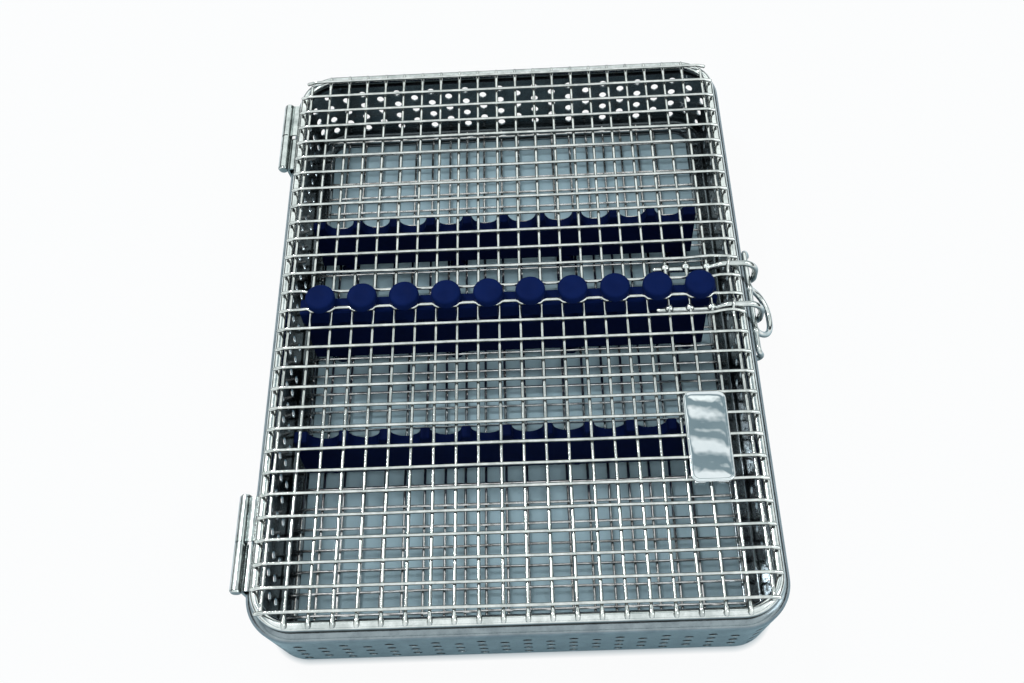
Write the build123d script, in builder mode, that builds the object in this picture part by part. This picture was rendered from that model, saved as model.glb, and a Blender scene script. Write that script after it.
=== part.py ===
from build123d import *
import os
from math import cos, degrees, floor, pi, radians, sin, sqrt, tan

os.makedirs("parts", exist_ok=True)

# Dental instrument cassette, in millimetres. Z = 0 is the table, X runs from the hinges
# to the latch and Y along the tray. The origin lies under the middle of the tray.

# ---- Driving dimensions ---------------------------------------------------------------

# Tray pan, drawn from one perforated sheet
tray_width = 146.2
tray_length = 202.8
tray_height = 26.7
tray_corner_radius = 13.9
sheet = 0.8
wall_lean = 7.1
shoulder_bend = 2.4
foot_bend = 1.4
inner_bend = 1.1
lip_width = 4.6
flange_width = 6.0

# Perforations: columns all round the wall, by turns of four and of three holes.
# They repeat hundreds of times, so each is a square of the round punch's open area.
perforation_diameter = 2.5
perforation_columns = 108
perforation_row_pitch = 5.07
plain_band = 7.3
foot_band = 3.5

# Floor mesh, and the sides that a mesh wire's section has
floor_wire = 0.9
floor_long_pitch = 6.2
floor_cross_pitch = 6.65
floor_edge_room = 1.0
mesh_wire_sides = 4

# Lid ring and lid mesh
ring_rod = 3.0
ring_sides = 8
ring_inset = 3.3
lid_gap = 0.3
lid_wire = 1.0
lid_long_pitch = 6.4
lid_cross_pitch = 6.8
wire_bend_out = 0.6
wire_end_out = 2.0
cross_end_drop = 1.9
long_end_drop = 0.85

# Silicone rails on the floor
rail_gap_hinge = 5.3
rail_gap_latch = 8.9
rail_thickness = 3.8
rail_height = 20.8
rail_front_y = -39.5
rail_middle_y = 2.3
rail_back_y = 38.8
rail_seat_gap = 0.1
notch_pitch = 12.0
notch_width = 9.2
notch_depth = 4.9
notch_sides = 8
rail_plug_cells = 6
rail_plug_stem = 3.2
rail_plug_head = 6.2
rail_plug_head_thickness = 0.7

# Silicone hold-down bar under the lid, with mushroom heads above the mesh
bar_gap_hinge = 3.8
bar_gap_latch = 5.3
bar_thickness = 5.5
bar_tooth_gap = 0.5
bar_mesh_gap = 0.2
button_cells = 2
button_stem = 3.0
button_head = 9.1
button_head_thickness = 3.2
stem_sides = 6
head_sides = 12

# Label plate on the lid, folded over two cross wires
label_width = 12.3
label_length = 28.4
label_thickness = 0.7
label_corner_radius = 2.5
label_cells_in = 2
label_shift_x = 0.55
label_shift_y = -0.7
label_tab_width = 3.0
label_tab_gap = 0.2
label_tab_wires_y = (-9, -5)

# Hinges
hinge_from_end = 27.6
hinge_length = 27.5
hinge_out = 2.1
hinge_rise = 0.6
hinge_sheet = 0.8
pin_diameter = 1.8
pin_fit = 0.05
knuckle_gap = 0.4
pin_head_diameter = 3.0
pin_head_thickness = 0.6
leaf_reach = 6.0

# Latch: two arms of the lid, and the bar with its loop that swings in them
arm_wire = 1.9
arm_sides = 6
run_turn = 30.0
hump_turn = 45.0
arm_front_y = -3.9
arm_back_y = 11.1
arm_inner_length = 16.3
arm_rise_gap = 0.5
arm_rise_run = 4.3
arm_rise_bend = 3.0
arm_outer_bend = 4.7
arm_ring_gap = 0.05
hook_fit = 0.1
latch_wire = 1.8
latch_wall_gap = 0.2
latch_drop = 3.5
latch_y = 2.6
finger_entry = 0.3
finger_bend = 1.5
latch_splay = 25.0
loop_wire = 1.9
loop_y = -0.9
loop_width = 15.6
loop_depth = 8.9
loop_bend = 7.0
loop_angle = 43.0

# ---- Derived sizes --------------------------------------------------------------------

lean = tan(radians(wall_lean))
rim_trim = shoulder_bend * (lean + 1 / cos(radians(wall_lean)) - 1)
top_width = tray_width + 2 * rim_trim
top_length = tray_length + 2 * rim_trim

perforation_side = perforation_diameter * sqrt(pi) / 2
first_row_z = tray_height - plain_band
perforation_rows = 1 + floor((first_row_z - foot_band) / perforation_row_pitch)

floor_half_x = tray_width / 2 + rim_trim - tray_height * lean - foot_bend - sheet
floor_half_y = tray_length / 2 + rim_trim - tray_height * lean - foot_bend - sheet
floor_corner = tray_corner_radius - tray_height * lean - foot_bend - sheet
floor_long_z = sheet + floor_wire / 2
floor_cross_z = floor_long_z + floor_wire
rail_bottom = floor_cross_z + floor_wire / 2 + rail_seat_gap
rail_top = rail_bottom + rail_height

ring_z = tray_height + lid_gap + ring_rod / 2
ring_half_x = tray_width / 2 - ring_inset
ring_half_y = tray_length / 2 - ring_inset
ring_corner_radius = tray_corner_radius - ring_inset
lid_edge_room = (ring_rod + lid_wire) / 2
lid_long_z = ring_z + (ring_rod + lid_wire) / 2
lid_cross_z = lid_long_z + lid_wire
lid_top = lid_cross_z + lid_wire / 2

rail_left = -(floor_half_x + foot_bend + rail_bottom * lean - rail_gap_hinge)
rail_right = floor_half_x + foot_bend + rail_bottom * lean - rail_gap_latch
rail_length = rail_right - rail_left
rail_shift = (rail_right + rail_left) / 2
bar_left = -(ring_half_x - ring_rod / 2 - bar_gap_hinge)
bar_right = ring_half_x - ring_rod / 2 - bar_gap_latch
bar_length = bar_right - bar_left
bar_shift = (bar_right + bar_left) / 2
bar_bottom = rail_top + bar_tooth_gap
bar_top = lid_long_z - lid_wire / 2 - bar_mesh_gap

hinge_x = -(tray_width / 2 + hinge_out)
hinge_y = tray_length / 2 - hinge_from_end
hinge_z = tray_height + hinge_rise
bore_radius = pin_diameter / 2 + pin_fit
knuckle_radius = bore_radius + hinge_sheet
knuckle_length = (hinge_length - knuckle_gap) / 2

latch_x = tray_width / 2 + latch_wall_gap + latch_wire / 2
latch_z = tray_height - latch_drop
hook_radius = (latch_wire + arm_wire) / 2 + hook_fit
arm_outer_x = latch_x + hook_radius
arm_low_z = lid_long_z - (lid_wire + arm_wire) / 2
arm_high_z = ring_z + (ring_rod + arm_wire) / 2 + arm_ring_gap


# ---- Helpers --------------------------------------------------------------------------

def row(count, pitch):
    """Evenly spaced places, centred on zero."""
    return [(index - (count - 1) / 2) * pitch for index in range(count)]


def places_that_fit(half_span, pitch, odd):
    """As many evenly spaced places as a span holds, with a place at zero if odd."""
    steps = half_span / pitch
    return row(2 * floor(steps) + 1 if odd else 2 * floor(steps + 1 / 2), pitch)


def stem_place(y, pitch, wire, stem):
    """The place nearest to y where a stem fits in a mesh cell; one wire lies at zero."""
    cell = (floor(y / pitch) + 0.5) * pitch
    play = (pitch - wire - stem) / 2
    return cell + max(-play, min(play, y - cell))


def reach(across, half_along, half_across, corner_radius):
    """How far a wire at `across` runs inside a rounded rectangle, from the middle out."""
    into_corner = abs(across) - (half_across - corner_radius)
    if into_corner <= 0:
        return half_along
    return half_along - corner_radius + sqrt(max(corner_radius**2 - into_corner**2, 0))


def wall_half(size_at_top, height):
    """Half the pan's outer size at a height, along the leaning wall."""
    return size_at_top / 2 - (tray_height - height) * lean


def wall_spot(travel):
    """Where a walk round the wall's outline stands after `travel`, and which way it faces.

    The walk starts in the middle of the latch wall and goes towards +Y.
    """
    travel = (travel + side_y / 2) % perforation_round
    corners = [(1, 1), (-1, 1), (-1, -1), (1, -1)]
    for turn, (sign_x, sign_y) in enumerate(corners):
        facing = 90.0 * turn
        straight = side_x if turn % 2 else side_y
        centre = Vector(sign_x * side_x / 2, sign_y * side_y / 2)
        back = max(straight - travel, 0)
        travel -= straight
        if travel <= quarter_round:
            bend = degrees(max(travel, 0) / mid_radius)
            outward = Vector(mid_radius, 0).rotate(Axis.Z, facing + bend)
            return centre - Vector(0, back).rotate(Axis.Z, facing) + outward, facing + bend
        travel -= quarter_round


def swing(point, angle):
    """A point (out, y, up) about the latch bar's axis, swung outward by an angle."""
    out, along, up = point
    turn = radians(angle)
    return (
        latch_x + out * cos(turn) - up * sin(turn),
        along,
        latch_z + out * sin(turn) + up * cos(turn),
    )


def section_plane(path, upright=(0, 0, 1)):
    """The plane square to a path at its start, with its X axis as upright as it can be."""
    return Plane(origin=path @ 0, x_dir=upright, z_dir=path % 0)


def straight_runs(path):
    """The points of a bent path whose arcs are cut into short straight runs."""
    points = [path @ 0]
    for edge in path.order_edges():
        runs = 1
        if edge.geom_type == GeomType.CIRCLE:
            runs = max(1, round(degrees(edge.length / edge.radius) / run_turn))
        points += [edge @ (run / runs) for run in range(1, runs + 1)]
    return points


def bent_wire(points, diameter, sides, upright=(0, 0, 1)):
    """One wire along its centre points, mitred where it turns."""
    with BuildPart() as wire:
        with BuildLine() as path:
            Polyline(*points)
        with BuildSketch(section_plane(path.wire(), upright)):
            RegularPolygon(diameter / 2, sides)
        sweep(path=path.wire(), transition=Transition.RIGHT)
    return wire.part


# ---- Tray pan -------------------------------------------------------------------------

def drawn_body(inset):
    """The pan's closed form, set in from its outer faces by a sheet thickness."""
    side = inset / cos(radians(wall_lean))
    with BuildPart() as body:
        with BuildSketch(Plane.XY.offset(inset)):
            RectangleRounded(
                2 * (wall_half(top_width, inset) - side),
                2 * (wall_half(top_length, inset) - side),
                tray_corner_radius - (tray_height - inset) * lean - side,
            )
        extrude(amount=tray_height - 2 * inset, taper=-wall_lean)
        if inset == 0:
            fillet(body.edges().group_by(Axis.Z)[-1], shoulder_bend)
            chamfer(body.edges().group_by(Axis.Z)[0], foot_bend)
        else:
            chamfer(body.edges().group_by(Axis.Z)[-1], inner_bend)
            chamfer(body.edges().group_by(Axis.Z)[0], foot_bend - (2 - sqrt(2)) * inset)
    return body.part


mid_z = first_row_z - (perforation_rows - 1) * perforation_row_pitch / 2
mid_radius = tray_corner_radius - (tray_height - mid_z) * lean
side_x = 2 * (wall_half(top_width, mid_z) - mid_radius)
side_y = 2 * (wall_half(top_length, mid_z) - mid_radius)
quarter_round = mid_radius * pi / 2
perforation_round = 2 * side_x + 2 * side_y + 4 * quarter_round
column_pitch = perforation_round / perforation_columns

flat_holes = []
corner_holes = []
for column in range(perforation_columns):
    spot, facing = wall_spot(latch_y + (column + 1) * column_pitch)
    outward = Vector(1, 0).rotate(Axis.Z, facing)
    short = column % 2
    for hole in range(perforation_rows - short):
        height = first_row_z - (hole + short / 2) * perforation_row_pitch
        hole_plane = Plane(origin=(spot.X, spot.Y, height), x_dir=outward, z_dir=(0, 0, 1))
        holes = corner_holes if facing % 90 else flat_holes
        holes.append(hole_plane.location)

# A corner's punch widens along the corner's radii, so the hole's sides stay square to the bend
punch_reach = 5 * sheet
punch_half_widths = [
    perforation_side / 2 * (mid_radius + out) / mid_radius for out in (-punch_reach, punch_reach)
]

with BuildPart() as corner_punch:
    with BuildSketch():
        with BuildLine():
            Polyline(
                (-punch_reach, -punch_half_widths[0]),
                (punch_reach, -punch_half_widths[1]),
                (punch_reach, punch_half_widths[1]),
                (-punch_reach, punch_half_widths[0]),
                close=True,
            )
        make_face()
    extrude(amount=perforation_side / 2, both=True)

with BuildPart() as tray_pan:
    add(drawn_body(0))
    add(drawn_body(sheet), mode=Mode.SUBTRACT)
    with BuildSketch(Plane.XY.offset(tray_height - sheet)):
        RectangleRounded(
            tray_width - 2 * lip_width, tray_length - 2 * lip_width, tray_corner_radius - lip_width
        )
    extrude(amount=sheet, mode=Mode.SUBTRACT)
    with BuildSketch(Plane.XY):
        RectangleRounded(
            2 * (wall_half(top_width, 0) - flange_width),
            2 * (wall_half(top_length, 0) - flange_width),
            tray_corner_radius - tray_height * lean - flange_width,
        )
    extrude(amount=sheet, mode=Mode.SUBTRACT)
    with Locations(*flat_holes):
        Box(2 * punch_reach, perforation_side, perforation_side, mode=Mode.SUBTRACT)
    with Locations(*corner_holes):
        add(corner_punch.part, mode=Mode.SUBTRACT)


# ---- Floor mesh -----------------------------------------------------------------------

with BuildPart() as floor_wires_long:
    for x in places_that_fit(floor_half_x - floor_edge_room, floor_long_pitch, odd=False):
        with BuildSketch(Plane(origin=(x, 0, floor_long_z), x_dir=(0, 0, 1), z_dir=(0, 1, 0))):
            RegularPolygon(floor_wire / 2, mesh_wire_sides)
        extrude(amount=reach(x, floor_half_y, floor_half_x, floor_corner), both=True)

with BuildPart() as floor_wires_cross:
    for y in places_that_fit(floor_half_y - floor_edge_room, floor_cross_pitch, odd=True):
        with BuildSketch(Plane(origin=(0, y, floor_cross_z), x_dir=(0, 0, 1), z_dir=(1, 0, 0))):
            RegularPolygon(floor_wire / 2, mesh_wire_sides)
        extrude(amount=reach(y, floor_half_x, floor_half_y, floor_corner), both=True)


# ---- Silicone rails -------------------------------------------------------------------

notch_count = 1 + floor((rail_length - notch_width) / notch_pitch)
rail_plug_pitch = rail_plug_cells * floor_long_pitch
rail_plug_count = 1 + floor((rail_length - rail_plug_head) / rail_plug_pitch)


def silicone_rail(rail_y):
    """One comb: notched on top, with mushroom plugs through the floor mesh."""
    head_bottom = sheet - rail_plug_head_thickness
    plug_y = stem_place(rail_y, floor_cross_pitch, floor_wire, rail_plug_stem)
    plug_places = [(x, plug_y) for x in row(rail_plug_count, rail_plug_pitch)]
    with BuildPart() as rail:
        with BuildSketch(Plane.XZ.offset(-rail_y)):
            with Locations((rail_shift, rail_bottom)):
                Rectangle(rail_length, rail_height, align=(Align.CENTER, Align.MIN))
            with Locations((rail_shift, rail_top - notch_depth + notch_width / 2)):
                with GridLocations(notch_pitch, 1, notch_count, 1):
                    RegularPolygon(
                        notch_width / 2,
                        notch_sides,
                        major_radius=False,
                        rotation=180 / notch_sides,
                        mode=Mode.SUBTRACT,
                    )
        extrude(amount=rail_thickness / 2, both=True)
        with BuildSketch(Plane.XY.offset(head_bottom)):
            with Locations(*plug_places):
                RegularPolygon(rail_plug_head / 2, stem_sides)
        extrude(amount=rail_plug_head_thickness)
        with BuildSketch(Plane.XY.offset(head_bottom)):
            with Locations(*plug_places):
                RegularPolygon(rail_plug_stem / 2, stem_sides)
        extrude(amount=rail_bottom - head_bottom)
    return rail.part


rail_front = silicone_rail(rail_front_y)
rail_middle = silicone_rail(rail_middle_y)
rail_back = silicone_rail(rail_back_y)


# ---- Lid ring and lid mesh ------------------------------------------------------------

with BuildSketch(Plane.XY.offset(ring_z)) as ring_outline:
    RectangleRounded(2 * ring_half_x, 2 * ring_half_y, ring_corner_radius)
ring_wire = ring_outline.sketch.faces()[0].outer_wire()

with BuildPart() as lid_frame:
    with BuildSketch(section_plane(ring_wire)):
        RegularPolygon(ring_rod / 2, ring_sides)
    sweep(path=ring_wire)


def arm_hump(arm_y):
    """The centre points with which a long wire steps over a latch arm."""
    radius = (arm_wire + lid_wire) / 2 + arm_ring_gap
    corner = radius * tan(radians(hump_turn / 2))
    sides = [(-radius, lid_long_z - arm_high_z), (-radius, corner), (-corner, radius)]
    sides += [(-across, up) for across, up in reversed(sides)]
    return [(arm_y + across, arm_high_z + up) for across, up in sides]


lid_long_x = places_that_fit(ring_half_x - lid_edge_room, lid_long_pitch, odd=False)
lid_cross_y = places_that_fit(ring_half_y - lid_edge_room, lid_cross_pitch, odd=True)
outer_long_x = lid_long_x[-1]

with BuildPart() as lid_wires_long:
    for x in lid_long_x:
        bend, end = [
            reach(x, ring_half_y + out, ring_half_x + out, ring_corner_radius + out)
            for out in (wire_bend_out, wire_end_out)
        ]
        heights = [(-end, lid_long_z - long_end_drop), (-bend, lid_long_z)]
        if x == outer_long_x:
            heights += arm_hump(arm_front_y) + arm_hump(arm_back_y)
        heights += [(bend, lid_long_z), (end, lid_long_z - long_end_drop)]
        add(bent_wire([(x, y, z) for y, z in heights], lid_wire, mesh_wire_sides))

with BuildPart() as lid_wires_cross:
    for y in lid_cross_y:
        bend, end = [
            reach(y, ring_half_x + out, ring_half_y + out, ring_corner_radius + out)
            for out in (wire_bend_out, wire_end_out)
        ]
        bend = max(bend, outer_long_x + lid_wire)
        ends = [(-end, -cross_end_drop), (-bend, 0), (bend, 0), (end, -cross_end_drop)]
        points = [(x, y, lid_cross_z + drop) for x, drop in ends]
        add(bent_wire(points, lid_wire, mesh_wire_sides))


# ---- Hold-down bar --------------------------------------------------------------------

bar_y = stem_place(rail_middle_y, lid_cross_pitch, lid_wire, button_stem)
button_pitch = button_cells * lid_long_pitch
button_count = 1 + floor((bar_length - button_head) / button_pitch)
button_places = [(x, bar_y) for x in row(button_count, button_pitch)]

with BuildPart() as hold_down_bar:
    with BuildSketch(Plane.XY.offset(bar_bottom)):
        with Locations((bar_shift, bar_y)):
            Rectangle(bar_length, bar_thickness)
    extrude(amount=bar_top - bar_bottom)
    with BuildSketch(Plane.XY.offset(bar_top)):
        with Locations(*button_places):
            RegularPolygon(button_stem / 2, stem_sides)
    extrude(amount=lid_top - bar_top)
    with BuildSketch(Plane.XY.offset(lid_top)):
        with Locations(*button_places):
            RegularPolygon(button_head / 2, head_sides)
    extrude(amount=button_head_thickness)


# ---- Label plate ----------------------------------------------------------------------

label_wire_x = outer_long_x - label_cells_in * lid_long_pitch
label_x = label_wire_x + label_shift_x
label_y = sum(label_tab_wires_y) / 2 * lid_cross_pitch + label_shift_y

with BuildPart() as label_plate:
    with BuildSketch(Plane.XY.offset(lid_top)):
        with Locations((label_x, label_y)):
            RectangleRounded(label_width, label_length, label_corner_radius)
    extrude(amount=label_thickness)
    for wire_index in label_tab_wires_y:
        tab_y = wire_index * lid_cross_pitch - (lid_wire + label_thickness) / 2 - label_tab_gap
        with BuildSketch(Plane.XY.offset(lid_top)):
            with Locations((label_wire_x, tab_y)):
                with GridLocations(lid_long_pitch, 1, 2, 1):
                    Rectangle(label_tab_width, label_thickness)
        extrude(amount=-(lid_wire + label_tab_gap))


# ---- Hinges ---------------------------------------------------------------------------

def tray_knuckle(centre_y):
    """A leaf up the wall's outer face that rolls round the pin."""
    leaf_top = (wall_half(top_width, hinge_z), hinge_z)
    leaf_foot_z = tray_height - leaf_reach
    leaf_foot = (wall_half(top_width, leaf_foot_z), leaf_foot_z)
    thickness = hinge_sheet / cos(radians(wall_lean))
    with BuildPart() as knuckle:
        with BuildSketch(Plane.XZ.offset(-centre_y + knuckle_gap / 2)):
            with Locations((hinge_x, hinge_z)):
                Circle(knuckle_radius)
            with BuildLine():
                Polyline(
                    (-leaf_top[0], leaf_top[1]),
                    (-leaf_foot[0], leaf_foot[1]),
                    (-leaf_foot[0] - thickness, leaf_foot[1]),
                    (-leaf_top[0] - thickness, leaf_top[1]),
                    close=True,
                )
            make_face()
            with Locations((hinge_x, hinge_z)):
                Circle(bore_radius, mode=Mode.SUBTRACT)
        extrude(amount=knuckle_length)
    return knuckle.part


def lid_knuckle(centre_y):
    """A leaf from the lid ring that rolls round the pin."""
    leaf_length = -ring_half_x - hinge_x
    with BuildPart() as knuckle:
        with BuildSketch(Plane.XZ.offset(-centre_y - knuckle_gap / 2)):
            with Locations((hinge_x, hinge_z)):
                Circle(knuckle_radius)
            with Locations((hinge_x, hinge_z + knuckle_radius)):
                Rectangle(leaf_length, hinge_sheet, align=(Align.MIN, Align.MAX))
            with Locations((hinge_x, hinge_z)):
                Circle(bore_radius, mode=Mode.SUBTRACT)
            with Locations((-ring_half_x, ring_z)):
                Circle(ring_rod / 2, mode=Mode.SUBTRACT)
        extrude(amount=-knuckle_length)
    return knuckle.part


def hinge_pin(centre_y):
    """A pin through both knuckles, headed at both ends."""
    with BuildPart() as pin:
        with Locations(Location((hinge_x, centre_y, hinge_z), (90, 0, 0))):
            Cylinder(pin_diameter / 2, hinge_length)
        for end in (-1, 1):
            with BuildSketch(Plane.XZ.offset(-centre_y - end * hinge_length / 2)):
                with Locations((hinge_x, hinge_z)):
                    RegularPolygon(pin_head_diameter / 2, head_sides)
            extrude(amount=-end * pin_head_thickness)
    return pin.part


hinge_tray_knuckle_front = tray_knuckle(-hinge_y)
hinge_tray_knuckle_back = tray_knuckle(hinge_y)
hinge_lid_knuckle_front = lid_knuckle(-hinge_y)
hinge_lid_knuckle_back = lid_knuckle(hinge_y)
hinge_pin_front = hinge_pin(-hinge_y)
hinge_pin_back = hinge_pin(hinge_y)


# ---- Latch arms -----------------------------------------------------------------------

arm_rise_start = outer_long_x - lid_long_pitch + arm_rise_gap


def latch_arm(arm_y):
    """Bent wire from under the lid mesh, over the ring and round the latch bar."""
    with BuildLine(Plane.XZ.offset(-arm_y)) as path:
        FilletPolyline(
            (arm_rise_start - arm_inner_length, arm_low_z),
            (arm_rise_start, arm_low_z),
            (arm_rise_start + arm_rise_run, arm_high_z),
            (arm_outer_x, arm_high_z),
            (arm_outer_x, latch_z - hook_radius),
            (latch_x - latch_wall_gap, latch_z - hook_radius),
            radius=[arm_rise_bend, arm_rise_bend, arm_outer_bend, hook_radius],
        )
    return bent_wire(straight_runs(path.wire()), arm_wire, arm_sides)


latch_arm_front = latch_arm(arm_front_y)
latch_arm_back = latch_arm(arm_back_y)


# ---- Latch bar and loop ---------------------------------------------------------------

finger_half_span = 3 * column_pitch
finger_down = latch_z - first_row_z
finger_in = latch_x - wall_half(top_width, first_row_z) + finger_entry

finger_corners = [
    (out, latch_y + side * finger_half_span, up)
    for side, out, up in (
        (-1, -finger_in, -finger_down),
        (-1, 0, -finger_down),
        (-1, 0, 0),
        (1, 0, 0),
        (1, 0, -finger_down),
        (1, -finger_in, -finger_down),
    )
]

with BuildPart() as latch_bar:
    with BuildLine() as finger_path:
        FilletPolyline(*[swing(point, latch_splay) for point in finger_corners], radius=finger_bend)
    add(bent_wire(straight_runs(finger_path.wire()), latch_wire, arm_sides))

loop_start = latch_wire / 4
loop_corners = [
    (0, loop_y + side * loop_width / 2, -down)
    for side, down in ((-1, loop_start), (-1, loop_depth), (1, loop_depth), (1, loop_start))
]

with BuildPart() as latch_loop:
    with BuildLine() as loop_path:
        FilletPolyline(*[swing(point, loop_angle) for point in loop_corners], radius=loop_bend)
    add(bent_wire(straight_runs(loop_path.wire()), loop_wire, arm_sides, upright=(0, 1, 0)))
    add(latch_bar.part, mode=Mode.SUBTRACT)


# ---- Export ---------------------------------------------------------------------------

pieces = {
    "tray_pan": tray_pan.part,
    "floor_wires_long": floor_wires_long.part,
    "floor_wires_cross": floor_wires_cross.part,
    "rail_front": rail_front,
    "rail_middle": rail_middle,
    "rail_back": rail_back,
    "hinge_tray_knuckle_front": hinge_tray_knuckle_front,
    "hinge_tray_knuckle_back": hinge_tray_knuckle_back,
    "hinge_pin_front": hinge_pin_front,
    "hinge_pin_back": hinge_pin_back,
    "lid_frame": lid_frame.part,
    "lid_wires_long": lid_wires_long.part,
    "lid_wires_cross": lid_wires_cross.part,
    "hold_down_bar": hold_down_bar.part,
    "label_plate": label_plate.part,
    "hinge_lid_knuckle_front": hinge_lid_knuckle_front,
    "hinge_lid_knuckle_back": hinge_lid_knuckle_back,
    "latch_arm_front": latch_arm_front,
    "latch_arm_back": latch_arm_back,
    "latch_bar": latch_bar.part,
    "latch_loop": latch_loop.part,
}

for name, piece in pieces.items():
    piece.label = name
    export_step(piece, f"parts/{name}.step")
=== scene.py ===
import math
import random

import bmesh
import bpy
import numpy as np
from mathutils import Matrix, Quaternion, Vector


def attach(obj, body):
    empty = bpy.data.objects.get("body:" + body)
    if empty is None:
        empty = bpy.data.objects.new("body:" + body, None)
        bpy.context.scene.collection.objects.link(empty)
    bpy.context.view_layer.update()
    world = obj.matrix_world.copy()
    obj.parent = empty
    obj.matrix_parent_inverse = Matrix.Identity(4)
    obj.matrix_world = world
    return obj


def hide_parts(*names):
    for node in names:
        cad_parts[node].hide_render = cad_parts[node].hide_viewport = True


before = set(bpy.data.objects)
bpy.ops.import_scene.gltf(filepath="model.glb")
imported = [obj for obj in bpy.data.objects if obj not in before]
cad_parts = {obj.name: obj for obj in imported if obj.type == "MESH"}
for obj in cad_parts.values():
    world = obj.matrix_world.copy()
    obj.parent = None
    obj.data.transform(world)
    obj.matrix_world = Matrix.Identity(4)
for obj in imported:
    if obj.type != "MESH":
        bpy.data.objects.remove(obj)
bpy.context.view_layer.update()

MM = 0.001
dice = random.Random(7)

# ---- Sizes of the cassette, in millimetres, as the CAD has them ------------------------

LEAN = math.radians(7.1)
TAN = math.tan(LEAN)
SHEET = 0.8
TRAY_H = 26.7
TOP_R = 13.9
SIDE_X = 119.035
SIDE_Y = 175.635
COLUMNS = 108
FIRST_ROW = 19.4
ROW_PITCH = 5.07
HOLE_R = 1.25
LATCH_Y = 2.6

RING_X, RING_Y, RING_R, RING_Z = 69.8, 98.1, 10.6, 28.5
LONG_Z, CROSS_Z = 30.5, 31.5
LONG_WIRES, CROSS_WIRES = 22, 29
LONG_X = [(i - 10.5) * 6.4 for i in range(LONG_WIRES)]
CROSS_Y = [(j - 14) * 6.8 for j in range(CROSS_WIRES)]
ARM_YS = (-3.9, 11.1)
BUTTON_PITCH = 12.8
BUTTON_X = [(i - 4.5) * BUTTON_PITCH for i in range(10)]
BAR_Y = 2.3

RING_ROD_R = 1.5
LID_WIRE_R = 0.5

# The two joint axes, which run along Y: (x, z).
LATCH = (74.2, 23.2)
HINGE = (-75.2, 27.3)


# ---- Mesh helpers ----------------------------------------------------------------------

def piece(name, verts, faces, body, material, nodes=(), sharp=32.0):
    """One object from millimetre points, closed and smooth apart from its sharp edges."""
    mesh = bpy.data.meshes.new(name)
    mesh.from_pydata([(x * MM, y * MM, z * MM) for x, y, z in verts], [], faces)
    edit = bmesh.new()
    edit.from_mesh(mesh)
    bmesh.ops.recalc_face_normals(edit, faces=edit.faces)
    edit.to_mesh(mesh)
    edit.free()
    mesh.polygons.foreach_set("use_smooth", [True] * len(mesh.polygons))
    mesh.set_sharp_from_angle(angle=math.radians(sharp))
    mesh.materials.append(material)
    obj = bpy.data.objects.new(name, mesh)
    bpy.context.scene.collection.objects.link(obj)
    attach(obj, body)
    if nodes:
        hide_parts(*nodes)


def ring_faces(rings, count):
    """Quads between closed rings that follow each other, with `count` points each."""
    faces = []
    for i in range(rings - 1):
        for k in range(count):
            m = (k + 1) % count
            faces.append((i * count + k, i * count + m, (i + 1) * count + m, (i + 1) * count + k))
    return faces


# A wire's domed end: (share of the dome's height, share of the wire's radius).
DOME_RINGS = ((0.55, 0.9), (1.0, 0.62))


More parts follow.
